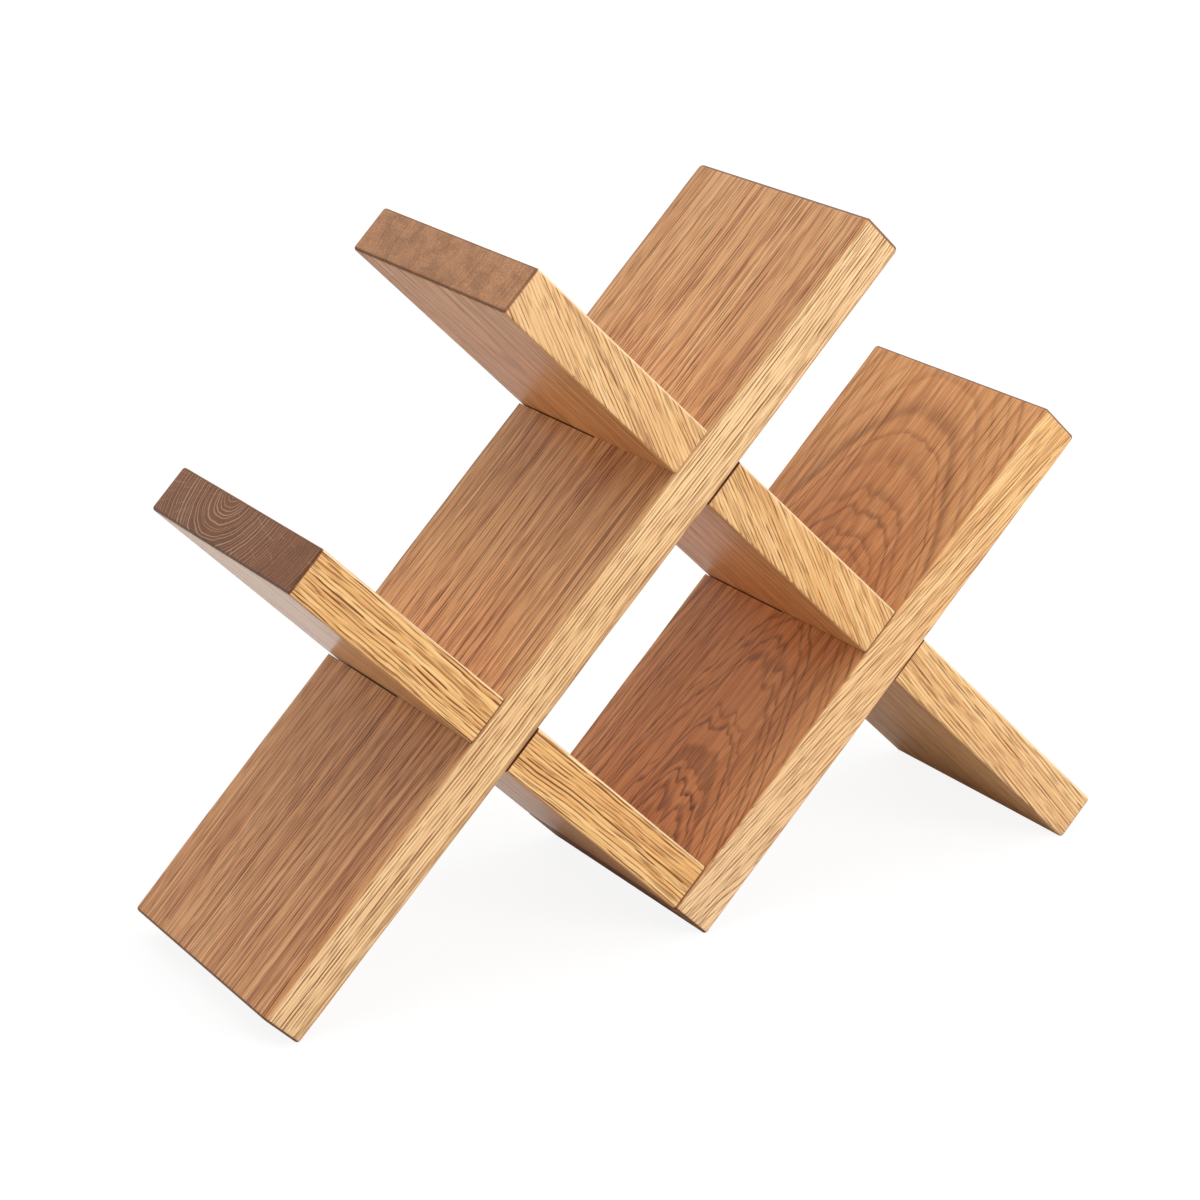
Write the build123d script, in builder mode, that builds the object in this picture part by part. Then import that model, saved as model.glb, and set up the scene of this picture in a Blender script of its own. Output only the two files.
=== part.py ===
from build123d import *
import os
from math import cos, radians, sin, tan

# Lattice wine rack of four solid boards, crossed on halving joints and dowelled at one corner.
# Two boards rise to the right and two fall to the right. Along the lattice, u is the distance up
# the rising boards and v the distance down the falling boards, both from the outer corner of the
# crossing of the long rising and the short falling board. Y runs from the front edges to the back.

# Driving dimensions, in millimetres, and in degrees for the lean
LEAN = 45.0
BOARD_THICKNESS = 20.0
BOARD_DEPTH = 114.0
CELL_OPENING = 103.0
ARM_LENGTH = 100.0
EDGE_ROUND = 1.5

# Halving joints: the crossing board bears on one wall of its slot and leaves a dark line at the other
BEARING_GAP = 0.1
OPEN_GAP = 0.5
SLOT_FLOOR_GAP = 0.2

# Fluted dowels through the butt joint at the middle foot
DOWEL_DIAMETER = 8.0
DOWEL_LENGTH = 35.0
DOWEL_FACE_DEPTH = 13.0
DOWEL_PITCH = 32.0
DOWEL_FIT = 0.05
DOWEL_END_ROOM = 1.0
DOWEL_CHAMFER = 0.8
FLUTE_COUNT = 14
FLUTE_DEPTH = 0.4

# Directions of the lattice, and the distance from one board to the next parallel one
SLOPE = radians(LEAN)
RISE = Vector(cos(SLOPE), 0, sin(SLOPE))
FALL = Vector(sin(SLOPE), 0, -cos(SLOPE))
SPACING = CELL_OPENING + BOARD_THICKNESS

# Ends of the boards: both legs are cut square, long enough to bring their lower edges to one level
FAR_FACE = SPACING + BOARD_THICKNESS
LEFT_LEG_END = -SPACING / tan(SLOPE)
RIGHT_LEG_END = FAR_FACE + SPACING * tan(SLOPE)
RISING_ARM_END = FAR_FACE + ARM_LENGTH
FALLING_ARM_END = -ARM_LENGTH

# The origin is on the floor, midway between the outermost corners and between front and back
LEFT_CORNER = RISE * LEFT_LEG_END
RIGHT_CORNER = RISE * FAR_FACE + FALL * RIGHT_LEG_END
MIDDLE_FOOT = FALL * FAR_FACE
FOOT_LIFT = EDGE_ROUND * (sin(SLOPE) + cos(SLOPE) - 1)
ORIGIN = Vector((LEFT_CORNER.X + RIGHT_CORNER.X) / 2, 0, MIDDLE_FOOT.Z + FOOT_LIFT)


def lattice_point(u, v, y=0):
    """Place in the rack of a point given along the rising and the falling boards."""
    return RISE * u + FALL * v + Vector(0, y, 0) - ORIGIN


def rising_plane(v):
    """Lower wide face of the rising board whose upper face is at v, with X up the board."""
    return Plane(lattice_point(0, v + BOARD_THICKNESS), x_dir=RISE, z_dir=-FALL)


def falling_plane(u):
    """Lower wide face of the falling board that starts at u, with X down the board."""
    return Plane(lattice_point(u, 0), x_dir=FALL, z_dir=RISE)


def plank_outline(plane, start, end):
    """Wide face of a board, from start to end along it."""
    with BuildSketch(plane) as outline:
        with Locations(((start + end) / 2, 0)):
            Rectangle(end - start, BOARD_DEPTH)
    return outline.sketch


def slot_span(face, low_gap, high_gap):
    """Stretch of a board that is cut away for a crossing board whose first face is at face."""
    return face - low_gap, face + BOARD_THICKNESS + high_gap


def slot_outlines(plane, side, spans):
    """Slots to just past the middle of a board, open at its front (side -1) or its back (side 1)."""
    length = (BOARD_DEPTH + SLOT_FLOOR_GAP) / 2
    with BuildSketch(plane) as slots:
        for low, high in spans:
            with Locations(((low + high) / 2, side * (BOARD_DEPTH - length) / 2)):
                Rectangle(high - low, length)
    return slots.sketch


# Planes of the four boards, and the butt joint seen from each of its two boards
long_rising_plane = rising_plane(0)
short_rising_plane = rising_plane(SPACING)
long_falling_plane = falling_plane(SPACING)
short_falling_plane = falling_plane(0)
joint_centre = lattice_point(BOARD_THICKNESS / 2, SPACING)
joint_on_rising_face = Plane(joint_centre, x_dir=RISE, z_dir=-FALL)
joint_on_falling_end = Plane(joint_centre, x_dir=RISE, z_dir=FALL)

dowel_places = {"front": -DOWEL_PITCH, "middle": 0, "back": DOWEL_PITCH}
dowel_rows = [(0, y) for y in dowel_places.values()]
dowel_hole_radius = DOWEL_DIAMETER / 2 + DOWEL_FIT
dowel_end_depth = DOWEL_LENGTH - DOWEL_FACE_DEPTH

# Long rising board: left foot to top, slotted from the back for both falling boards
with BuildPart() as long_rising_board:
    extrude(plank_outline(long_rising_plane, LEFT_LEG_END, RISING_ARM_END), amount=BOARD_THICKNESS)
    fillet(long_rising_board.edges(), EDGE_ROUND)
    rising_spans = [slot_span(0, OPEN_GAP, BEARING_GAP), slot_span(SPACING, OPEN_GAP, BEARING_GAP)]
    slots = slot_outlines(long_rising_plane, 1, rising_spans)
    extrude(slots, amount=BOARD_THICKNESS, mode=Mode.SUBTRACT)

# Short rising board: middle foot to the right arm, with blind dowel holes in its upper face
with BuildPart() as short_rising_board:
    extrude(plank_outline(short_rising_plane, 0, RISING_ARM_END), amount=BOARD_THICKNESS)
    fillet(short_rising_board.edges(), EDGE_ROUND)
    slots = slot_outlines(short_rising_plane, 1, [slot_span(SPACING, OPEN_GAP, BEARING_GAP)])
    extrude(slots, amount=BOARD_THICKNESS, mode=Mode.SUBTRACT)
    with Locations(joint_on_rising_face):
        with Locations(*dowel_rows):
            Hole(dowel_hole_radius, DOWEL_FACE_DEPTH + DOWEL_END_ROOM)

# Long falling board: left arm to the right foot, slotted from the front for both rising boards
with BuildPart() as long_falling_board:
    extrude(plank_outline(long_falling_plane, FALLING_ARM_END, RIGHT_LEG_END), amount=BOARD_THICKNESS)
    fillet(long_falling_board.edges(), EDGE_ROUND)
    falling_spans = [slot_span(0, BEARING_GAP, OPEN_GAP), slot_span(SPACING, OPEN_GAP, BEARING_GAP)]
    slots = slot_outlines(long_falling_plane, -1, falling_spans)
    extrude(slots, amount=BOARD_THICKNESS, mode=Mode.SUBTRACT)

# Short falling board: lower left arm to the middle foot, with blind dowel holes in its lower end
with BuildPart() as short_falling_board:
    extrude(plank_outline(short_falling_plane, FALLING_ARM_END, SPACING), amount=BOARD_THICKNESS)
    fillet(short_falling_board.edges(), EDGE_ROUND)
    slots = slot_outlines(short_falling_plane, -1, [slot_span(0, OPEN_GAP, BEARING_GAP)])
    extrude(slots, amount=BOARD_THICKNESS, mode=Mode.SUBTRACT)
    with Locations(joint_on_falling_end):
        with Locations(*dowel_rows):
            Hole(dowel_hole_radius, dowel_end_depth + DOWEL_END_ROOM)


def build_dowel(y):
    """Fluted dowel with chamfered ends, along the falling board and across the butt joint."""
    start = lattice_point(BOARD_THICKNESS / 2, SPACING - dowel_end_depth, y)
    end_plane = Plane(start, x_dir=RISE, z_dir=FALL)
    with BuildPart() as dowel:
        with BuildSketch(end_plane):
            Circle(DOWEL_DIAMETER / 2)
        extrude(amount=DOWEL_LENGTH)
        chamfer(dowel.edges().filter_by(GeomType.CIRCLE), DOWEL_CHAMFER)
        with BuildSketch(end_plane):
            with PolarLocations(DOWEL_DIAMETER / 2, FLUTE_COUNT):
                RegularPolygon(FLUTE_DEPTH, 4)
        extrude(amount=DOWEL_LENGTH, mode=Mode.SUBTRACT)
    return dowel


pieces = {
    "long_rising_board": long_rising_board,
    "short_rising_board": short_rising_board,
    "long_falling_board": long_falling_board,
    "short_falling_board": short_falling_board,
}
for place, y in dowel_places.items():
    pieces[f"corner_dowel_{place}"] = build_dowel(y)

os.makedirs("parts", exist_ok=True)
for name, piece in pieces.items():
    piece.part.label = name
    export_step(piece.part, f"parts/{name}.step")
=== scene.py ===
import math
from dataclasses import dataclass

import bpy
import numpy as np
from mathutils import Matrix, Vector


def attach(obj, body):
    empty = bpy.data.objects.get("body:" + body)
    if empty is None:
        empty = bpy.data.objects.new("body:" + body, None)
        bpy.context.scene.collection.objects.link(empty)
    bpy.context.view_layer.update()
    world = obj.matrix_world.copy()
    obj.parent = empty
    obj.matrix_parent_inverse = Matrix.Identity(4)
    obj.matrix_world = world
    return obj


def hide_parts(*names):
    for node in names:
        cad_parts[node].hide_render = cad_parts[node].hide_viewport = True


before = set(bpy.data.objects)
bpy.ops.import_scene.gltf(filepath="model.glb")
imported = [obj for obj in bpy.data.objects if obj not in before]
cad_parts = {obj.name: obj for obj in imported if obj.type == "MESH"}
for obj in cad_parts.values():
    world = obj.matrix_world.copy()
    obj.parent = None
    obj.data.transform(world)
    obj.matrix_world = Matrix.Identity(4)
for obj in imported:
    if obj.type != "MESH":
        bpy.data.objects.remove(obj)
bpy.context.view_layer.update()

# Oak wine rack: four solid boards crossed at 45 degrees. Shapes are in metres, written as millimetres
# times MM, and patterns in the wood are in plain millimetres. Each board has its own directions:
# along it from left to right, across it from front to back, and out of its upper wide face.
MM = 0.001
LEAN = math.radians(45)
ACROSS = np.array([0.0, 1.0, 0.0])

# Halving slots: a board bears on one wall of its slot and leaves a dark line at the other
BEARING_GAP = 0.1 * MM
OPEN_GAP = 0.5 * MM
SLOT_FLOOR_GAP = 0.2 * MM

# Dowel holes: a little wider than the dowels, and deeper at both ends
DOWELLED = ("short_rising_board", "short_falling_board")
HOLE_RADIUS = 4.05 * MM
HOLE_END_ROOM = 1.0 * MM
HOLE_SIDES = 32

# Section of a board: points along its sides and round its arrises, and sections along its eased ends
LEAST_ROUND = 0.05 * MM
SIDE_MARGIN = 4.5 * MM
EASE_STEPS = 6
ARRIS_POINTS = 7
STATION_STEP = 3.0 * MM
WIDE_POINTS = 23
EDGE_POINTS = 5
SMOOTH_ANGLE = math.radians(35)

# Wear of the arrises: two waves, each with its share, its length and how far a seed turns it, and the
# part of a board's length that the foot's own wear reaches
WEAR_WAVES = ((0.6, 23 * MM, 1.0), (0.4, 7.3 * MM, 2.1))
WEAR_SHARE = 0.18
CORNER_TURN = 5
FOOT_REACH = 0.6

# Hand sanding of the wide faces: shallow waves along and across them
SANDING_DEPTH = 0.06 * MM
SANDING_ALONG = 31 * MM
SANDING_ACROSS = 17 * MM

# Sections closer than this are one section
DIGITS = 9
NEAR = 1e-8

# View of the photograph: a long lens, a little above and to the left of the front
VIEW_AZIMUTH = math.radians(-31.199)
VIEW_ELEVATION = math.radians(19.503)
VIEW_ROLL = math.radians(-0.498)
VIEW_DISTANCE = 1289.32 * MM
VIEW_AIM = np.array([-11.62, 0.96, 121.16]) * MM
LENS = 100.51
SENSOR = 36.0


def linear(red, green, blue):
    """A colour given as screen values of 0 to 255, turned into the light that it stands for."""
    screen = np.array([red, green, blue]) / 255
    light = np.where(screen <= 0.04045, screen / 12.92, ((screen + 0.055) / 1.055) ** 2.4)
    return (*light.tolist(), 1.0)


@dataclass
class Figure:
    """Noise in the wood: its blobs along, across and through a board, its detail, and its own draw."""

    size: tuple
    detail: float
    roughness: float = 0.5
    draw: int = 0


class Value:
    """A socket of a node tree. Arithmetic on it adds Math nodes."""

    def __init__(self, graph, socket):
        self.graph = graph
        self.socket = socket

    def math(self, operation, *others):
        """The operation with the value in front."""
        return self.graph.node("ShaderNodeMath", {"operation": operation}, [self, *others])

    def before(self, operation, first):
        """The operation with a number in front of the value."""
        return self.graph.node("ShaderNodeMath", {"operation": operation}, [first, self])

    def __add__(self, other):
        return self.math("ADD", other)

    def __sub__(self, other):
        return self.math("SUBTRACT", other)

    def __rsub__(self, other):
        return self.before("SUBTRACT", other)

    def __mul__(self, other):
        return self.math("MULTIPLY", other)

    def __truediv__(self, other):
        return self.math("DIVIDE", other)

    def __pow__(self, other):
        return self.math("POWER", other)

    __radd__ = __add__
    __rmul__ = __mul__

    def size(self):
        """The value without its sign."""
        return self.math("ABSOLUTE")

    def rise(self, start, end):
        """0 below start and 1 above end, with a smooth step between them."""
        settings = {"interpolation_type": "SMOOTHSTEP"}
        return self.graph.node("ShaderNodeMapRange", settings, [self, start, end, 0.0, 1.0])

    def between(self, low, high):
        """low where the value is 0, high where it is 1, and evenly between them."""
        return self * (high - low) + low


class Graph:
    """The node tree of a material or of the world."""

    SEED_STEPS = (1.0, 1.7, 2.3)
    PORE_EDGE = (0.2, 0.34)

    def __init__(self, tree):
        self.tree = tree
        tree.nodes.clear()

    def node(self, kind, settings=None, sockets=(), output=0):
        """Adds a node. Its settings come first, then the values or links of its sockets."""
        made = self.tree.nodes.new(kind)
        for name, value in (settings or {}).items():
            setattr(made, name, value)
        pairs = sockets.items() if isinstance(sockets, dict) else enumerate(sockets)
        for name, value in pairs:
            if isinstance(value, Value):
                self.tree.links.new(value.socket, made.inputs[name])
            else:
                made.inputs[name].default_value = value
        return Value(self, made.outputs[output]) if made.outputs else None

    def parts(self, vector):
        """The three numbers of a vector."""
        first = self.node("ShaderNodeSeparateXYZ", None, [vector])
        outputs = first.socket.node.outputs
        return [Value(self, socket) for socket in outputs]

    def noise(self, place, figure, seed=0.0, output="Fac"):
        """Soft noise about a half, in blobs of the figure's size."""
        scale = tuple(1 / length for length in figure.size)
        start = tuple(step * (seed + figure.draw) for step in self.SEED_STEPS)
        spot = self.node("ShaderNodeMapping", None, {"Vector": place, "Scale": scale, "Location": start})
        sockets = {"Vector": spot, "Scale": 1.0, "Detail": figure.detail, "Roughness": figure.roughness}
        return self.node("ShaderNodeTexNoise", None, sockets, output)

    def noise_along(self, distance):
        """Soft noise about a half along a line."""
        return self.node("ShaderNodeTexNoise", {"noise_dimensions": "1D"}, {"W": distance, "Scale": 1.0})

    def chance(self, number):
        """A chance amount from 0 to 1 for each number."""
        return self.node("ShaderNodeTexWhiteNoise", {"noise_dimensions": "1D"}, {"W": number}, "Value")

    def pores(self, place, length, pitch, seed):
        """Thin pores along the grain: needles of like width, one to each cell of a loose lattice."""
        scale = (1 / length, 1 / pitch, 1 / pitch)
        start = (seed,) * 3
        spot = self.node("ShaderNodeMapping", None, {"Vector": place, "Scale": scale, "Location": start})
        sockets = {"Vector": spot, "Scale": 1.0, "Randomness": 1.0}
        apart = self.node("ShaderNodeTexVoronoi", {"feature": "F1"}, sockets, "Distance")
        return 1 - apart.rise(*self.PORE_EDGE)

    def mix(self, factor, first, second, blend="MIX"):
        """From the first colour to the second as the factor goes from 0 to 1."""
        settings = {"data_type": "RGBA", "blend_type": blend, "clamp_factor": True}
        return self.node("ShaderNodeMix", settings, {0: factor, 6: first, 7: second}, 2)


def new_material(name):
    """An empty material and its node tree."""
    material = bpy.data.materials.new(name)
    material.use_nodes = True
    return material, Graph(material.node_tree)


@dataclass
class Oak:
    """How the tree of a board grew, and how the board was sawn from it and finished.

    Slopes are in millimetres for each millimetre along the board. Rose, which is partly painted shade, and
    sapwood are given at the left end, in the middle and at the right end, and the depth of the rings at
    the two ends. The tint and the tone of the ends are colours. The shown face is the wide face that the
    photograph shows, and the far face is the other one."""

    # Pith of the tree, from the middle of the board
    pith_across: float
    pith_through: float
    # Slant of the grain on the wide faces, on the edges, past their bend, and through the board
    slip: float
    edge_slope: float
    edge_slope_beyond: float
    face_slope: float
    # Full swing of the slow bends and of the quick ripples of the fibres
    wander: float
    ripple: float
    # Width of a year's ring, and how dark its early wood is
    ring: float
    ring_depth: tuple
    # Fine dark lines: how far apart they are and how dark
    edge_spacing: float
    face_spacing: float
    edge_lines: float
    shown_lines: float
    far_lines: float
    # Open pores: their length, how far apart they are and how dark
    pore_length: float
    pore_pitch: float
    edge_pores: float
    face_pores: float
    # Colour of the wood, with rose that is partly painted shade, and clear finish on the shown face
    rose_and_shade: tuple
    tint: tuple
    sapwood: tuple
    coat: float
    # Colour of the sawn ends, and how clear the rings are on them
    end_tone: tuple
    end_rings: float
    # Drift of the pith along the board, taper of the trunk, which draws arches on the wide faces, and
    # the shown face's steeper cut through it
    pith_drift: float = 0.0
    taper: float = 0.0
    dive: float = 0.0


@dataclass
class Board:
    """One board: how it lies, where it is slotted, how it is eased, and the oak that it is made of.

    Each slot has the crossing board, and the gaps before and after it. The four arrises are at the
    upper front, upper back, lower back and lower front. Their radii and those of the left and the right
    end are in millimetres."""

    node: str
    rises: bool
    slot_side: int
    slots: tuple
    arris: tuple
    foot_wear: float
    ends: tuple
    oak: Oak
    seed: float

    @property
    def along(self):
        """Direction along the board, from its left end to its right end."""
        climb = 1 if self.rises else -1
        return np.array([math.cos(LEAN), 0.0, climb * math.sin(LEAN)])

    @property
    def normal(self):
        """Direction out of the upper wide face."""
        lean = -1 if self.rises else 1
        return np.array([lean * math.sin(LEAN), 0.0, math.cos(LEAN)])

    @property
    def turn(self):
        """Turn about Y that lays the board level, for the patterns in its wood."""
        return LEAN if self.rises else -LEAN

    @property
    def axes(self):
        """The board's three directions, one to a row."""
        return np.stack([self.along, ACROSS, self.normal])


def reach(node, direction):
    """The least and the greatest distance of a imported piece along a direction."""
    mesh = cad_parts[node].data
    places = np.empty(len(mesh.vertices) * 3)
    mesh.vertices.foreach_get("co", places)
    distances = places.reshape(-1, 3) @ direction
    return distances.min(), distances.max()


def middle_of(board):
    """Middle of a board, measured along its own three directions."""
    return np.array([np.mean(reach(board.node, axis)) for axis in board.axes])


BOARDS = [
    Board(
        node="long_rising_board",
        rises=True,
        slot_side=1,
        slots=(
            ("short_falling_board", OPEN_GAP, BEARING_GAP),
            ("long_falling_board", OPEN_GAP, BEARING_GAP),
        ),
        arris=(1.1, 1.5, 1.5, 1.4),
        foot_wear=1.9,
        ends=(1.5, 2.4),
        seed=3.0,
        oak=Oak(
            pith_across=-112.0, pith_through=-72.0,
            slip=0.004, edge_slope=0.012, edge_slope_beyond=0.012, face_slope=0.012,
            wander=8.0, ripple=0.8, ring=3.2, ring_depth=(0.6, 0.6),
            edge_spacing=1.4, face_spacing=1.6, edge_lines=1.15, shown_lines=1.9, far_lines=1.5,
            pore_length=22.0, pore_pitch=0.75, edge_pores=0.6, face_pores=0.65,
            rose_and_shade=(1.6, 0.4, 0.7), tint=(1.0, 0.975, 0.95), sapwood=(0.5, 0.3, 0.5), coat=0.3,
            end_tone=(194, 140, 100), end_rings=0.3,
        ),
    ),
    Board(
        node="short_rising_board",
        rises=True,
        slot_side=1,
        slots=(("long_falling_board", OPEN_GAP, BEARING_GAP),),
        arris=(0.9, 1.5, 1.5, 1.2),
        foot_wear=0.3,
        ends=(1.5, 1.6),
        seed=11.0,
        oak=Oak(
            pith_across=-8.0, pith_through=-105.0, pith_drift=0.1, taper=0.12, dive=0.088,
            slip=0.01, edge_slope=0.1, edge_slope_beyond=0.1, face_slope=0.012,
            wander=8.0, ripple=1.0, ring=2.7, ring_depth=(1.1, 0.45),
            edge_spacing=1.4, face_spacing=1.6, edge_lines=0.85, shown_lines=1.5, far_lines=1.5,
            pore_length=18.0, pore_pitch=0.7, edge_pores=0.55, face_pores=0.35,
            rose_and_shade=(0.95, 0.9, 0.7), tint=(0.98, 0.92, 0.865), sapwood=(0.8, 0.35, 0.0), coat=0.3,
            end_tone=(186, 132, 92), end_rings=0.3,
        ),
    ),
    Board(
        node="long_falling_board",
        rises=False,
        slot_side=-1,
        slots=(
            ("long_rising_board", BEARING_GAP, OPEN_GAP),
            ("short_rising_board", OPEN_GAP, BEARING_GAP),
        ),
        arris=(1.2, 1.5, 1.5, 1.1),
        foot_wear=0.4,
        ends=(1.6, 1.5),
        seed=23.0,
        oak=Oak(
            pith_across=2.0, pith_through=-69.0,
            slip=0.02, edge_slope=0.4, edge_slope_beyond=0.1, face_slope=0.035,
            wander=4.8, ripple=1.0, ring=3.0, ring_depth=(0.7, 0.1),
            edge_spacing=1.5, face_spacing=1.5, edge_lines=0.95, shown_lines=0.6, far_lines=1.9,
            pore_length=18.0, pore_pitch=0.75, edge_pores=0.55, face_pores=0.3,
            rose_and_shade=(0.4, 0.4, 0.4), tint=(0.96, 0.91, 0.86), sapwood=(0.35, 0.0, 0.35), coat=0.0,
            end_tone=(214, 157, 116), end_rings=0.3,
        ),
    ),
    Board(
        node="short_falling_board",
        rises=False,
        slot_side=-1,
        slots=(("long_rising_board", OPEN_GAP, BEARING_GAP),),
        arris=(1.2, 1.5, 1.5, 1.1),
        foot_wear=0.2,
        ends=(1.6, 1.5),
        seed=37.0,
        oak=Oak(
            pith_across=13.0, pith_through=9.0,
            slip=0.0, edge_slope=0.012, edge_slope_beyond=0.012, face_slope=0.012,
            wander=6.4, ripple=2.2, ring=1.8, ring_depth=(0.1, 0.1),
            edge_spacing=1.6, face_spacing=1.5, edge_lines=1.38, shown_lines=0.6, far_lines=1.9,
            pore_length=34.0, pore_pitch=0.85, edge_pores=0.65, face_pores=0.3,
            rose_and_shade=(0.3, 0.7, 0.8), tint=(0.99, 0.93, 0.84), sapwood=(0.0, 0.0, 0.0), coat=0.6,
            end_tone=(143, 92, 64), end_rings=0.95,
        ),
    ),
]


def wear(distance, seed):
    """Slow uneven wear from -1 to 1 along an arris: two sine waves of unlike length."""
    return sum(share * np.sin(distance / length + turn * seed) for share, length, turn in WEAR_WAVES)


def arris_radii(board, stations, start, end):
    """Radius of the four arrises at each station: the board's own, with uneven wear, more at its foot."""
    foot = start if board.rises else end
    near_foot = np.clip(1 - np.abs(stations - foot) / (FOOT_REACH * (end - start)), 0, 1) ** 2
    radii = [
        radius * (1 + WEAR_SHARE * wear(stations, board.seed + CORNER_TURN * corner))
        + board.foot_wear * near_foot
        for corner, radius in enumerate(board.arris)
    ]
    return np.stack(radii, axis=1) * MM


def slot_spans(board):
    """The stretches that a board's slots take up along it, from wall to wall."""
    spans = []
    for crossing, gap_before, gap_after in board.slots:
        low, high = reach(crossing, board.along)
        spans.append((round(low - gap_before, DIGITS), round(high + gap_after, DIGITS)))
    return sorted(spans)


def board_stations(start, end, eases, walls):
    """Places along a board: a quarter circle of eased end, then even steps that meet every slot wall."""
    quarter = 1 - np.cos(np.linspace(0, math.pi / 2, EASE_STEPS + 1))
    stops = np.array([start + eases[0], *walls, end - eases[1]])
    runs = [
        np.linspace(low, high, max(2, math.ceil((high - low) / STATION_STEP)) + 1)
        for low, high in zip(stops[:-1], stops[1:])
    ]
    places = np.concatenate([start + eases[0] * quarter, *runs, end - eases[1] * quarter])
    return np.unique(np.round(places, DIGITS))


def rounded_sections(side, edge, depths, heights, inset, radii):
    """Sections of a board as depths and heights, one to a row: a rectangle with four rounded corners.

    With the inset i and the radius r, a corner is a quarter circle about the point i + r in from both
    of its sides."""
    front, back = depths
    under, top = heights
    turn = np.linspace(0, math.pi / 2, ARRIS_POINTS)[None, :]
    one = np.ones_like(inset)

    def corner(index, y, z, out_y, out_z, angle):
        radius = np.maximum(radii[:, index : index + 1] - inset, LEAST_ROUND)
        pull = inset + radius
        return (
            y - out_y * pull + radius * out_y * np.cos(angle),
            z - out_z * pull + radius * out_z * np.sin(angle),
        )

    strips = [
        (one * side, (top - inset) * np.ones_like(side)),
        corner(1, back, top, 1, 1, turn[:, ::-1]),
        ((back - inset) * np.ones_like(edge), one * edge[::-1]),
        corner(2, back, under, 1, -1, turn),
        (one * side[::-1], (under + inset) * np.ones_like(side)),
        corner(3, front, under, -1, -1, turn[:, ::-1]),
        ((front + inset) * np.ones_like(edge), one * edge),
        corner(0, front, top, -1, 1, turn),
    ]
    return [np.concatenate(parts, axis=1) for parts in zip(*strips)]


def slotted_faces(grid, stations, spans, slot_side, floor):
    """Faces of a board between its sections, with the slots left out.

    Over a slot the part of the section on the slotted side is cut, from the point floor on the upper
    face to its like on the lower face. A flat wall at each end and a floor at mid depth close the slot."""
    count = grid.shape[1]
    ahead = np.roll(grid, -1, axis=1)
    quads = np.stack([grid[:-1], ahead[:-1], ahead[1:], grid[1:]], axis=-1)
    keep = np.ones(quads.shape[:2], dtype=bool)
    under_floor = 2 * (WIDE_POINTS + ARRIS_POINTS) + EDGE_POINTS - 1 - floor
    if slot_side > 0:
        cut = np.arange(floor, under_floor + 1)
    else:
        cut = np.arange(under_floor, floor + count + 1) % count
    faces = []
    for low, high in spans:
        first, last = np.searchsorted(stations, [low - NEAR, high - NEAR])
        keep[first:last, cut[:-1]] = False
        faces += [grid[first, cut].tolist(), grid[last, cut[::-1]].tolist()]
        near, far = grid[first : last + 1, cut[0]], grid[first : last + 1, cut[-1]]
        faces += np.stack([near[:-1], far[:-1], far[1:], near[1:]], axis=1).tolist()
    faces += quads[keep].tolist()
    faces += [grid[0, ::-1].tolist(), grid[-1].tolist()]
    return faces


def board_mesh(board):
    """A board as one closed surface: a rectangle with four rounded corners, carried along the board.

    At a distance d from an end, within the easing radius e, the section draws in by
    e - sqrt(e^2 - (e - d)^2). The wide faces are hollowed by a sine wave along and across them."""
    (start, end), (front, back), (under, top) = [reach(board.node, axis) for axis in board.axes]
    spans = slot_spans(board)
    eases = np.array(board.ends) * MM
    stations = board_stations(start, end, eases, [wall for span in spans for wall in span])
    ease = np.where(stations < (start + end) / 2, *eases)
    from_end = np.clip(np.minimum(stations - start, end - stations), 0, ease)
    inset = (ease - np.sqrt(np.clip(ease**2 - (ease - from_end) ** 2, 0, None)))[:, None]
    radii = arris_radii(board, stations, start, end)

    slot_floor = (front + back) / 2 - board.slot_side * SLOT_FLOOR_GAP / 2
    side = np.linspace(front + SIDE_MARGIN, back - SIDE_MARGIN, WIDE_POINTS)
    floor = int(np.argmin(np.abs(side - slot_floor)))
    side[floor] = slot_floor
    edge = np.linspace(under + SIDE_MARGIN, top - SIDE_MARGIN, EDGE_POINTS)
    depth, height = rounded_sections(side, edge, (front, back), (under, top), inset, radii)

    away = stations[:, None]
    wave = np.sin(away / SANDING_ALONG + depth / SANDING_ACROSS + board.seed)
    hollow = SANDING_DEPTH * (0.5 + 0.5 * wave) * (from_end / ease)[:, None]
    height = height - np.sign(height - (under + top) / 2) * hollow
    along, across, normal = board.axes
    places = away[..., None] * along + depth[..., None] * across + height[..., None] * normal

    grid = np.arange(depth.size).reshape(depth.shape)
    faces = slotted_faces(grid, stations, spans, board.slot_side, floor)
    mesh = bpy.data.meshes.new(board.node + "_oak")
    mesh.from_pydata(places.reshape(-1, 3).tolist(), [], faces)
    mesh.validate()
    return mesh


def dowel_bits():
    """Drill bits for the dowel holes: a circle carried along each dowel and a little past its ends."""
    falling = next(board for board in BOARDS if board.node == "short_falling_board")
    turn = np.linspace(0, 2 * math.pi, HOLE_SIDES, endpoint=False)
    here = np.arange(HOLE_SIDES)
    ahead = np.roll(here, -1)
    places, faces = [], []
    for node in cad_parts:
        if not node.startswith("corner_dowel"):
            continue
        (start, end), depths, heights = [reach(node, axis) for axis in falling.axes]
        depth = np.mean(depths) + HOLE_RADIUS * np.cos(turn)
        height = np.mean(heights) + HOLE_RADIUS * np.sin(turn)
        base = len(places)
        for away in (start - HOLE_END_ROOM, end + HOLE_END_ROOM):
            ring = np.stack([np.full(HOLE_SIDES, away), depth, height], axis=1)
            places += (ring @ falling.axes).tolist()
        sides = np.stack([here, ahead, ahead + HOLE_SIDES, here + HOLE_SIDES], axis=1)
        faces += (sides + base).tolist()
        faces += [(here[::-1] + base).tolist(), (here + HOLE_SIDES + base).tolist()]
    mesh = bpy.data.meshes.new("dowel_bits")
    mesh.from_pydata(places, [], faces)
    return mesh


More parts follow.
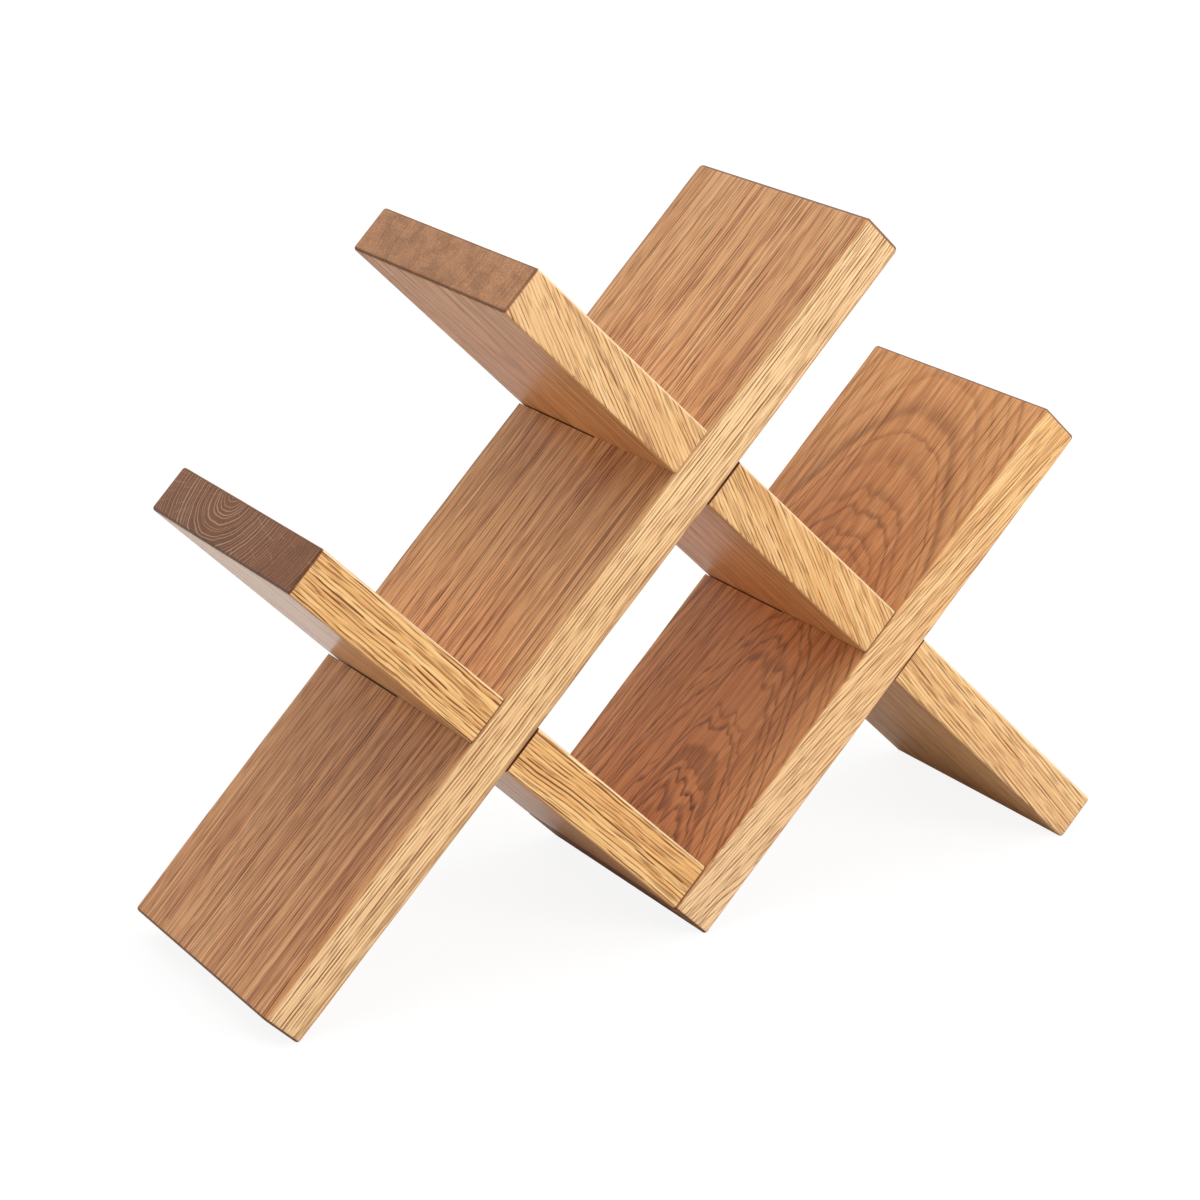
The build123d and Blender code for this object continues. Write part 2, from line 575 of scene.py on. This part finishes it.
def bore(piece):
    """Bores the dowel holes into a board."""
    bits = bpy.data.objects.new("dowel_bits", dowel_bits())
    bpy.context.collection.objects.link(bits)
    holes = piece.modifiers.new("dowel_holes", "BOOLEAN")
    holes.operation = "DIFFERENCE"
    holes.solver = "EXACT"
    holes.object = bits
    depsgraph = bpy.context.evaluated_depsgraph_get()
    bored = bpy.data.meshes.new_from_object(piece.evaluated_get(depsgraph))
    piece.modifiers.clear()
    piece.data = bored
    bpy.data.objects.remove(bits)


def ease_shading(mesh):
    """Smooth over the rounded arrises and sharp at the slot walls."""
    mesh.shade_smooth()
    mesh.set_sharp_from_angle(angle=SMOOTH_ANGLE)


# Colours of the oak: its wood, its dark lines, painted highlight and painted shade on its arrises, its
# sawn ends, painted shade in its joints, and washes laid over it, of which the rose is partly painted
# shade
PALE = linear(246, 206, 148)
HONEY = linear(234, 184, 122)
TAN = linear(208, 152, 98)
EARLY = linear(122, 72, 34)
PORE = linear(112, 62, 28)
SAPWOOD = linear(246, 214, 172)
# Painted highlight: cream along the upper arris of the falling boards
ARRIS_PAINTED_HIGHLIGHT = linear(252, 228, 188)
# Painted shade: darker tone along the long arrises of the rising boards
ARRIS_PAINTED_SHADE = linear(188, 132, 86)
END_DARK = linear(84, 50, 34)
END_LIGHT = linear(206, 168, 132)
# Painted shade in the joint gaps, near black
JOINT_PAINTED_SHADE = linear(48, 28, 18)
# Rose over the wide faces: partly the oak's own colour and partly painted shade, full on the shown face
ROSE_AND_SHADE_TINT = (1.0, 0.82, 0.8, 1.0)
ROSE_BAND = (0.84, 0.76, 0.74, 1.0)

# Noise in the oak, in millimetres along, across and through a board
SLOW_BENDS = Figure((170, 60, 60), 1.0)
QUICK_RIPPLES = Figure((30, 9, 9), 2.0, draw=1)
FINE_TONE = Figure((40, 1.0, 1.0), 3.0, 0.65, draw=2)
STREAKS = Figure((130, 2.1, 2.1), 2.0, 0.55, draw=3)
BANDS = Figure((200, 7, 7), 2.0, draw=4)
VESSELS = Figure((12, 1.2, 1.2), 1.0, draw=5)
END_SPECKS = Figure((3, 0.9, 0.9), 2.0, 0.7, draw=7)
ZIGZAGS = Figure((55, 12, 12), 2.0, draw=8)
END_CLOUDS = Figure((20, 11, 7), 3.0, 0.6, draw=9)
NOISE_MEAN = 0.5

# Where a surface counts as one of a board's sides, from how squarely it faces that way
END_GRAIN = (0.04, 0.3)
END_FLAT = (0.7, 0.98)
EDGE_SIDE = (0.15, 0.85)
WIDE_SIDE = (0.45, 0.55)
SHOWN_SIDE = (-0.3, 0.3)
LONG_ARRIS = (0.2, 0.45)
UPPER_SIDE = (-0.2, 0.2)

# Grain: past BEND from its middle a board's edge grain may run straighter. Round the pith line the
# trunk's taper counts in full, and to its sides by half, and zigzags there are longest at the left end.
BEND = 50.0
CROWN_REACH = 60.0
CROWN_LIFT = (0.5, 1.0)
ZIGZAG_SWING = 60.0
ZIGZAG_FALL = 50.0

# Growth rings: unlike widths, and early wood that swells and fades through a year's phase of 0 to 1,
# on the edges first and then on the wide faces
RING_DRIFT = 0.16
RING_SPREAD = 2.2
SWELL_END = (0.1, 0.16)
FADE_START = (0.12, 0.18)
FADE_END = (0.32, 0.58)
FAINTEST_YEAR = 0.4

# Fine lines along the fibres, broken where the vessels end and gathered in streaks on the wide faces
LINE_DRIFT = 0.6
LINE_SPREAD = 0.9
LINE_EDGE = (0.1, 0.24)
FAINTEST_LINE = 0.4
VESSEL_ENDS = (0.38, 0.56)
FAINTEST_VESSEL = 0.25
BROKEN_RING = 0.4
GATHERED = (0.44, 0.58)
LEAST_GATHERED = 0.3
FAINTEST_FACE_LINE = 0.35
CROWN_LINES = 0.45

# Colour of the sides: shares of the three noises, and how far each wash goes
FINE_SHARE = 0.48
STREAK_SHARE = 0.38
BAND_SHARE = 0.14
HONEY_TONE = (0.4, 0.54)
TAN_TONE = (0.5, 0.62)
TAN_WASH = (0.7, 1.0)
CALM_TAN = 0.55
FACE_SAPWOOD = 0.3
BAND_TONE = (0.48, 0.66)
BAND_WASH = 0.55
STREAK_TONE = (0.5, 0.62)
STREAK_WASH = 0.6
CALM_STREAKS = 0.5
# Share of the rose, partly painted shade, that the far face keeps
FAR_ROSE_AND_SHADE = 0.15
# Strength of the painted highlight and the painted shade on the arrises
PAINTED_ARRIS_WASH = 0.6

# Sawn ends: rays round the pith, specks, clouds, and pale arcs that fade away from the pith
RAY_COUNT = 40
RAY_LENGTH = 0.06
RAY_DEPTH = 0.05
RAY_TONE = (0.64, 0.7)
RAY_WASH = 0.18
SPECK_TONE = (0.42, 0.6)
SPECK_WASH = 0.3
CLOUD_TONE = (0.4, 0.64)
CLOUD_WASH = 0.24
LATE_WASH = (0.14, 0.36)
ARC_START = (0.0, 0.12)
ARC_END = (0.16, 0.42)
FAINTEST_ARC = 0.5
ARC_REACH = (22, 60)
FAR_ARC = 0.4
END_ARRIS_WASH = 0.6

# Painted shade inside the joints: slot walls away from the mouth, and faces that the crossing board hides
BOARD_END = (0.92, 0.96)
SLOT_MOUTH = (0.5, 1.5)
SLOT_SHADE_WASH = 0.95
JOINT_FACE = (0.55, 0.9)
JOINT_OUTSIDE = 0.1
JOINT_INSIDE = 0.4
JOINT_SHADE_WASH = 0.85

# Surface: depth of the pores, rings and lines in millimetres, roughness, and the clear finish
PORE_RELIEF = 0.05
RING_RELIEF = 0.03
LINE_RELIEF = 0.02
RELIEF_STRENGTH = 0.6
ROUGHNESS = 0.42
PORE_ROUGHNESS = 0.2
END_ROUGHNESS = 0.2
FAR_COAT = 0.2
FINISH = {"IOR": 1.47, "Specular IOR Level": 0.28, "Coat Roughness": 0.2, "Coat IOR": 1.2}


class OakPattern:
    """Patterns of one board's oak as node values: places, sides, fibres, rings and lines."""

    def __init__(self, graph, board):
        self.graph = graph
        self.board = board
        self.oak = board.oak
        self.find_sides()
        self.lay_fibres()
        self.grow_rings()
        self.draw_lines()

    def find_sides(self):
        """Places from the middle of the board, in millimetres, and masks of its sides."""
        g, board = self.graph, self.board
        at = g.node("ShaderNodeTexCoord", None, {}, "Object")
        facing = g.node("ShaderNodeTexCoord", None, {}, "Normal")
        turn = (0.0, board.turn, 0.0)
        self.middle = middle_of(board) / MM
        start = tuple((-self.middle).tolist())
        to_board = {"Vector": at, "Location": start, "Rotation": turn, "Scale": (1 / MM,) * 3}
        self.place = g.node("ShaderNodeMapping", {"vector_type": "POINT"}, to_board)
        face = g.node("ShaderNodeMapping", {"vector_type": "VECTOR"}, {"Vector": facing, "Rotation": turn})
        self.along, self.across, self.through = g.parts(self.place)
        face_along, self.face_across, self.face_through = g.parts(face)

        self.length = np.ptp(reach(board.node, board.along)) / MM
        self.left_to_right = self.along * (2 / self.length)
        end_facing = face_along * face_along
        self.end_grain = end_facing.rise(*END_GRAIN)
        self.end_arris = 1 - end_facing.rise(*END_FLAT)
        self.wide_face = 1 - (self.face_across * self.face_across).rise(*EDGE_SIDE)
        self.flat_side = (self.face_through * self.face_through).rise(*WIDE_SIDE)
        self.long_arris = (self.face_across * self.face_through).size().rise(*LONG_ARRIS)
        self.shown_side = (self.face_through * (1 if board.rises else -1)).rise(*SHOWN_SIDE)

    def over_length(self, amounts):
        """An amount that is given at the left end, in the middle and at the right end."""
        left, middle, right = amounts
        to_right = self.left_to_right.math("MAXIMUM", 0.0) * (right - middle)
        to_left = self.left_to_right.math("MINIMUM", 0.0) * (left - middle)
        return middle + to_right - to_left

    def lay_fibres(self):
        """Where each fibre lies across and through the board, with its slant, bends and ripples undone."""
        g, oak, seed = self.graph, self.oak, self.board.seed
        _, slow_y, slow_z = g.parts(g.noise(self.place, SLOW_BENDS, seed, "Color"))
        _, quick_y, quick_z = g.parts(g.noise(self.place, QUICK_RIPPLES, seed, "Color"))
        beyond = (self.along - BEND).math("MAXIMUM", 0.0)
        edge_rise = self.along * oak.edge_slope + beyond * (oak.edge_slope_beyond - oak.edge_slope)
        rise = self.flat_side.between(edge_rise, self.along * oak.face_slope)
        grain_y = self.across + self.along * oak.slip + (slow_y - NOISE_MEAN) * oak.wander
        grain_z = self.through + rise + (slow_z - NOISE_MEAN) * oak.wander
        self.fibre_y = grain_y + (quick_y - NOISE_MEAN) * oak.ripple
        self.fibre_z = grain_z + (quick_z - NOISE_MEAN) * oak.ripple
        self.fibre = g.node("ShaderNodeCombineXYZ", None, [self.along, self.fibre_y, self.fibre_z])

    def grow_rings(self):
        """Growth rings round the pith. The trunk tapers towards the right end, so rings arch there."""
        g, oak, seed = self.graph, self.oak, self.board.seed
        drift = self.along * oak.pith_drift
        off_axis = self.across - oak.pith_across - drift
        self.crown = 1 - (off_axis / CROWN_REACH).size().rise(0.0, 1.0)
        zigzag = g.noise(self.place, ZIGZAGS, seed) - NOISE_MEAN
        jagged = zigzag * (ZIGZAG_SWING - ZIGZAG_FALL * self.left_to_right)
        lift = (self.along - self.length / 2) * self.crown.between(*CROWN_LIFT) + jagged * self.crown
        dive = self.along * self.flat_side * self.shown_side * oak.dive
        self.from_pith_y = self.fibre_y - oak.pith_across - drift
        self.from_pith_z = self.fibre_z - oak.pith_through + lift * oak.taper + dive
        self.radius = (self.from_pith_y * self.from_pith_y + self.from_pith_z * self.from_pith_z) ** 0.5
        rings = self.radius / oak.ring + g.noise_along(self.radius * RING_DRIFT + seed) * RING_SPREAD
        self.phase = rings.math("FRACT")
        self.year = g.chance(rings.math("FLOOR") + seed)
        swell = self.phase.rise(0.0, self.wide_face.between(*SWELL_END))
        fade = 1 - self.phase.rise(self.wide_face.between(*FADE_START), self.wide_face.between(*FADE_END))
        self.early = swell * fade * self.year.between(FAINTEST_YEAR, 1.0)

    def draw_lines(self):
        """Streaks of tone, fine dark lines and open pores along the fibres."""
        g, oak, seed = self.graph, self.oak, self.board.seed
        fine = g.noise(self.fibre, FINE_TONE, seed)
        self.streaks = g.noise(self.fibre, STREAKS, seed)
        self.bands = g.noise(self.fibre, BANDS, seed)
        self.tone = fine * FINE_SHARE + self.streaks * STREAK_SHARE + self.bands * BAND_SHARE
        vessels = g.noise(self.fibre, VESSELS, seed)
        broken = vessels.rise(*VESSEL_ENDS).between(FAINTEST_VESSEL, 1.0)
        self.ring_lines = self.early * broken.between(BROKEN_RING, 1.0)

        on_edge = self.fibre_z / oak.edge_spacing
        on_face = self.fibre_y / oak.face_spacing
        ply = self.flat_side.between(on_edge, on_face) + seed
        ply = ply + g.noise_along(ply * LINE_DRIFT) * LINE_SPREAD
        depth = g.chance(ply.math("FLOOR"))
        off_line = (ply.math("FRACT") - 0.5).size()
        self.fine_lines = (1 - off_line.rise(*LINE_EDGE)) * depth.between(FAINTEST_LINE, 1.0) * broken
        gathered = self.streaks.rise(*GATHERED).between(LEAST_GATHERED, 1.0)
        gathered = gathered * depth.between(FAINTEST_FACE_LINE, 1.0)
        face_lines = self.shown_side.between(oak.far_lines, oak.shown_lines)
        face_lines = face_lines * self.crown.between(1.0, CROWN_LINES) * gathered
        self.line_depth = self.wide_face.between(oak.edge_lines, face_lines)

        self.pores = g.pores(self.fibre, oak.pore_length, oak.pore_pitch, seed)
        self.pore_depth = self.wide_face.between(oak.edge_pores, oak.face_pores)

    def side_wood(self):
        """Colour of the wide faces, the edges and the arrises between them, with painted shade on the
        arrises of rising boards, a painted highlight on the upper arris of falling boards, and a rose wash
        that is partly painted shade.
        """
        g, oak = self.graph, self.oak
        calm = self.crown * self.wide_face
        tan = self.tone.rise(*TAN_TONE) * (self.wide_face.between(*TAN_WASH) - CALM_TAN * calm)
        sapwood = self.over_length(oak.sapwood) * self.wide_face.between(1.0, FACE_SAPWOOD)
        band = self.bands.rise(*BAND_TONE) * self.wide_face * BAND_WASH
        streak = self.streaks.rise(*STREAK_TONE) * (STREAK_WASH * self.wide_face - CALM_STREAKS * calm)
        left, right = oak.ring_depth
        ring_depth = (left + right) / 2 + self.left_to_right * ((right - left) / 2)
        # Rose on the wide faces, partly painted shade: full on the shown face and less on the far one
        rose_and_shade = self.wide_face * self.shown_side.between(FAR_ROSE_AND_SHADE, 1.0) * self.over_length(oak.rose_and_shade)

        wood = g.mix(self.tone.rise(*HONEY_TONE), PALE, HONEY)
        wood = g.mix(tan, wood, TAN)
        wood = g.mix(sapwood, wood, SAPWOOD)
        wood = g.mix(1.0, wood, (*oak.tint, 1.0), "MULTIPLY")
        wood = g.mix(band, wood, ROSE_BAND, "MULTIPLY")
        wood = g.mix(streak, wood, ROSE_BAND, "MULTIPLY")
        wood = g.mix(self.ring_lines * ring_depth, wood, EARLY)
        wood = g.mix(self.fine_lines * self.line_depth, wood, EARLY)
        wood = g.mix(self.pores * self.pore_depth, wood, PORE)
        wood = g.mix(rose_and_shade, wood, ROSE_AND_SHADE_TINT, "MULTIPLY")
        if self.board.rises:
            # Rising boards: painted shade along both long arrises
            return g.mix(self.long_arris * PAINTED_ARRIS_WASH, wood, ARRIS_PAINTED_SHADE)
        # Falling boards: painted highlight along the upper arris only, where the light from above falls
        painted_highlight_arris = self.long_arris * self.face_through.rise(*UPPER_SIDE)
        return g.mix(painted_highlight_arris * PAINTED_ARRIS_WASH, wood, ARRIS_PAINTED_HIGHLIGHT)

    def end_wood(self):
        """Colour of the sawn ends, with arcs and rays round the pith, and painted shade on the slots'
        walls.
        """
        g, oak, seed = self.graph, self.oak, self.board.seed
        angle = self.from_pith_z.math("ARCTAN2", self.from_pith_y)
        spokes = [angle * RAY_COUNT, self.radius * RAY_LENGTH, self.along * RAY_DEPTH]
        spoke = g.node("ShaderNodeCombineXYZ", None, spokes)
        rays = g.node("ShaderNodeTexNoise", None, {"Vector": spoke, "Scale": 1.0, "Detail": 1.0})
        specks = g.noise(self.place, END_SPECKS, seed).rise(*SPECK_TONE)
        clouds = g.noise(self.place, END_CLOUDS, seed).rise(*CLOUD_TONE)
        late = (1 - self.phase) * self.year.between(*LATE_WASH)
        arcs = self.phase.rise(*ARC_START) * (1 - self.phase.rise(*ARC_END))
        arcs = arcs * self.year.between(FAINTEST_ARC, 1.0)
        arcs = arcs * self.radius.rise(*ARC_REACH).between(1.0, FAR_ARC)
        in_slot = 1 - self.left_to_right.size().rise(*BOARD_END)
        half_depth = np.ptp(reach(self.board.node, ACROSS)) / (2 * MM)
        from_mouth = half_depth - self.across * self.board.slot_side

        wood = g.mix(specks * SPECK_WASH, linear(*oak.end_tone), END_DARK)
        wood = g.mix(clouds * CLOUD_WASH + late, wood, END_DARK)
        wood = g.mix(arcs * oak.end_rings + rays.rise(*RAY_TONE) * RAY_WASH, wood, END_LIGHT)
        wood = g.mix(self.end_arris * END_ARRIS_WASH, wood, END_DARK)
        # Painted shade on the slot walls, deepest away from the mouth
        return g.mix(in_slot * from_mouth.rise(*SLOT_MOUTH) * SLOT_SHADE_WASH, wood, JOINT_PAINTED_SHADE)

    def paint_joint_shade(self, wood):
        """Painted shade on the faces that lie inside a crossing."""
        faces_joint = (1 - self.face_across * self.face_across).rise(*JOINT_FACE)
        for crossing, _, _ in self.board.slots:
            low, high = [wall / MM - self.middle[0] for wall in reach(crossing, self.board.along)]
            past_low = self.along.rise(low - JOINT_OUTSIDE, low + JOINT_INSIDE)
            past_high = self.along.rise(high - JOINT_INSIDE, high + JOINT_OUTSIDE)
            inside = past_low * (1 - past_high)
            wood = self.graph.mix(inside * faces_joint * JOINT_SHADE_WASH, wood, JOINT_PAINTED_SHADE)
        return wood

    def relief(self):
        """Pores, rings and lines as shallow grooves."""
        depth = self.pores * PORE_RELIEF + self.ring_lines * RING_RELIEF + self.fine_lines * LINE_RELIEF
        sockets = {"Strength": RELIEF_STRENGTH, "Distance": MM, "Height": 0 - depth}
        return self.graph.node("ShaderNodeBump", None, sockets)


def oak_finish(board):
    """Solid oak with its own growth rings, pores in lines along the grain, and darker end grain."""
    material, g = new_material("oak_" + board.node)
    pattern = OakPattern(g, board)
    wood = g.mix(pattern.end_grain, pattern.side_wood(), pattern.end_wood())
    bare = board.oak.coat == 0
    coat = 0.0 if bare else pattern.shown_side.between(FAR_COAT, 1.0) * board.oak.coat
    shader = g.node("ShaderNodeBsdfPrincipled", None, {
        "Base Color": pattern.paint_joint_shade(wood),
        "Roughness": ROUGHNESS + pattern.pores * PORE_ROUGHNESS + pattern.end_grain * END_ROUGHNESS,
        "Normal": pattern.relief(),
        "Coat Weight": coat,
        **FINISH,
    })
    g.node("ShaderNodeOutputMaterial", None, {"Surface": shader})
    return material


# Beech of the dowels: two tones, and short flecks along them
BEECH_PALE = linear(228, 188, 150)
BEECH_DEEP = linear(206, 160, 120)
BEECH_FLECK = linear(150, 100, 68)
BEECH_TONE = Figure((18, 1.2, 1.2), 2.0)
BEECH_FLECKS = Figure((2.4, 0.3, 0.3), 1.0)
FLECK_TONE = (0.6, 0.7)
FLECK_WASH = 0.5
BEECH_ROUGHNESS = 0.55
FLECK_ROUGHNESS = 0.1


def beech_finish():
    """Plain steamed beech of the hidden dowels, with short dark flecks along them."""
    material, g = new_material("beech_dowel")
    at = g.node("ShaderNodeTexCoord", None, {}, "Object")
    to_dowel = {"Vector": at, "Rotation": (0.0, -LEAN, 0.0), "Scale": (1 / MM,) * 3}
    place = g.node("ShaderNodeMapping", {"vector_type": "POINT"}, to_dowel)
    flecks = g.noise(place, BEECH_FLECKS).rise(*FLECK_TONE)
    wood = g.mix(g.noise(place, BEECH_TONE), BEECH_PALE, BEECH_DEEP)
    wood = g.mix(flecks * FLECK_WASH, wood, BEECH_FLECK)
    rough = BEECH_ROUGHNESS + flecks * FLECK_ROUGHNESS
    shader = g.node("ShaderNodeBsdfPrincipled", None, {"Base Color": wood, "Roughness": rough})
    g.node("ShaderNodeOutputMaterial", None, {"Surface": shader})
    return material


for board in BOARDS:
    piece = bpy.data.objects.new(board.node + "_oak", board_mesh(board))
    bpy.context.collection.objects.link(piece)
    if board.node in DOWELLED:
        bore(piece)
    ease_shading(piece.data)
    piece.data.materials.append(oak_finish(board))
    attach(piece, "root")
    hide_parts(board.node)

dowel_wood = beech_finish()
for node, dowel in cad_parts.items():
    if node.startswith("corner_dowel"):
        dowel.data.materials.clear()
        dowel.data.materials.append(dowel_wood)

# Studio: white to the eye and in reflections, with soft light of AMBIENT from all round
WHITE = (1.0, 1.0, 1.0, 1.0)
AMBIENT = 0.47
SEEN_RAYS = ("Is Camera Ray", "Is Glossy Ray", "Is Transmission Ray")


def shown_to(graph, *rays):
    """1 for the named kinds of ray and 0 for the rest."""
    kinds = [graph.node("ShaderNodeLightPath", None, {}, name) for name in rays]
    shown = kinds[0]
    for kind in kinds[1:]:
        shown = shown.math("MAXIMUM", kind)
    return shown


world = bpy.data.worlds.new("studio")
bpy.context.scene.world = world
world.use_nodes = True
sky = Graph(world.node_tree)
brightness = shown_to(sky, *SEEN_RAYS).between(AMBIENT, 1.0)
ambient = sky.node("ShaderNodeBackground", None, {"Color": WHITE, "Strength": brightness})
sky.node("ShaderNodeOutputWorld", None, {"Surface": ambient})

# Floor: grey to the light that it throws back, and white glow over most of its shadow, over all far away
FLOOR_REACH = 12.0
FLOOR_GREY = (0.5, 0.5, 0.5, 1.0)
FLOOR_GLOW = 1.05
GLOW_SHARE = (0.85, 1.0)
FAR_FLOOR = (0.5, 3.0)


def pale_floor():
    """White paper to the eye and in reflections, which keeps part of the shadow on it."""
    material, g = new_material("pale_floor")
    place = g.node("ShaderNodeTexCoord", None, {}, "Object")
    far = g.node("ShaderNodeVectorMath", {"operation": "LENGTH"}, [place], "Value").rise(*FAR_FLOOR)
    colour = g.mix(shown_to(g, *SEEN_RAYS), FLOOR_GREY, WHITE)
    lit = g.node("ShaderNodeBsdfDiffuse", None, {"Color": colour})
    white = g.node("ShaderNodeEmission", None, {"Color": WHITE, "Strength": FLOOR_GLOW})
    glow = shown_to(g, "Is Camera Ray") * far.between(*GLOW_SHARE)
    shown = g.node("ShaderNodeMixShader", None, [glow, lit, white])
    g.node("ShaderNodeOutputMaterial", None, {"Surface": shown})
    return material


floor_mesh = bpy.data.meshes.new("floor")
sides = np.array([[-1, -1, 0], [1, -1, 0], [1, 1, 0], [-1, 1, 0]]) * FLOOR_REACH
floor_mesh.from_pydata(sides.tolist(), [], [[0, 1, 2, 3]])
floor = bpy.data.objects.new("floor", floor_mesh)
bpy.context.collection.objects.link(floor)
floor_mesh.materials.append(pale_floor())

# Soft boxes: place and width in metres, and power in watts
LAMPS = {
    "key": ((0.75, -1.7, 0.7), 1.0, 26),
    "top": ((-0.35, -0.1, 1.6), 1.2, 9),
    "back": ((0.9, 1.6, 0.35), 1.0, 10),
}
LAMP_AIM = (0, 0, 0.13)


def soft_lamp(name, place, width, power):
    """A square soft box that faces the middle of the rack and shows in no reflection."""
    lamp = bpy.data.lights.new(name, "AREA")
    lamp.shape = "SQUARE"
    lamp.size = width
    lamp.energy = power
    holder = bpy.data.objects.new(name, lamp)
    bpy.context.collection.objects.link(holder)
    holder.location = place
    holder.visible_glossy = False
    axis = Vector(place) - Vector(LAMP_AIM)
    holder.rotation_euler = axis.to_track_quat("Z", "Y").to_euler()


for name, (place, width, power) in LAMPS.items():
    soft_lamp(name, place, width, power)


def view_pose():
    """Place and turn of the camera, from its bearing, height, tilt and distance to its aim."""
    forward = np.array([
        -math.sin(VIEW_AZIMUTH) * math.cos(VIEW_ELEVATION),
        math.cos(VIEW_AZIMUTH) * math.cos(VIEW_ELEVATION),
        -math.sin(VIEW_ELEVATION),
    ])
    level = np.cross(forward, [0, 0, 1])
    level /= np.linalg.norm(level)
    upright = np.cross(level, forward)
    right = math.cos(VIEW_ROLL) * level + math.sin(VIEW_ROLL) * upright
    pose = np.eye(4)
    pose[:3, 0] = right
    pose[:3, 1] = np.cross(right, forward)
    pose[:3, 2] = -forward
    pose[:3, 3] = VIEW_AIM - forward * VIEW_DISTANCE
    return Matrix(pose.tolist())


camera_data = bpy.data.cameras.new("camera")
camera_data.lens = LENS
camera_data.sensor_width = SENSOR
camera_data.sensor_fit = "HORIZONTAL"
camera = bpy.data.objects.new("camera", camera_data)
bpy.context.collection.objects.link(camera)
camera.matrix_world = view_pose()
bpy.context.scene.camera = camera
bpy.context.scene.view_settings.view_transform = "Standard"
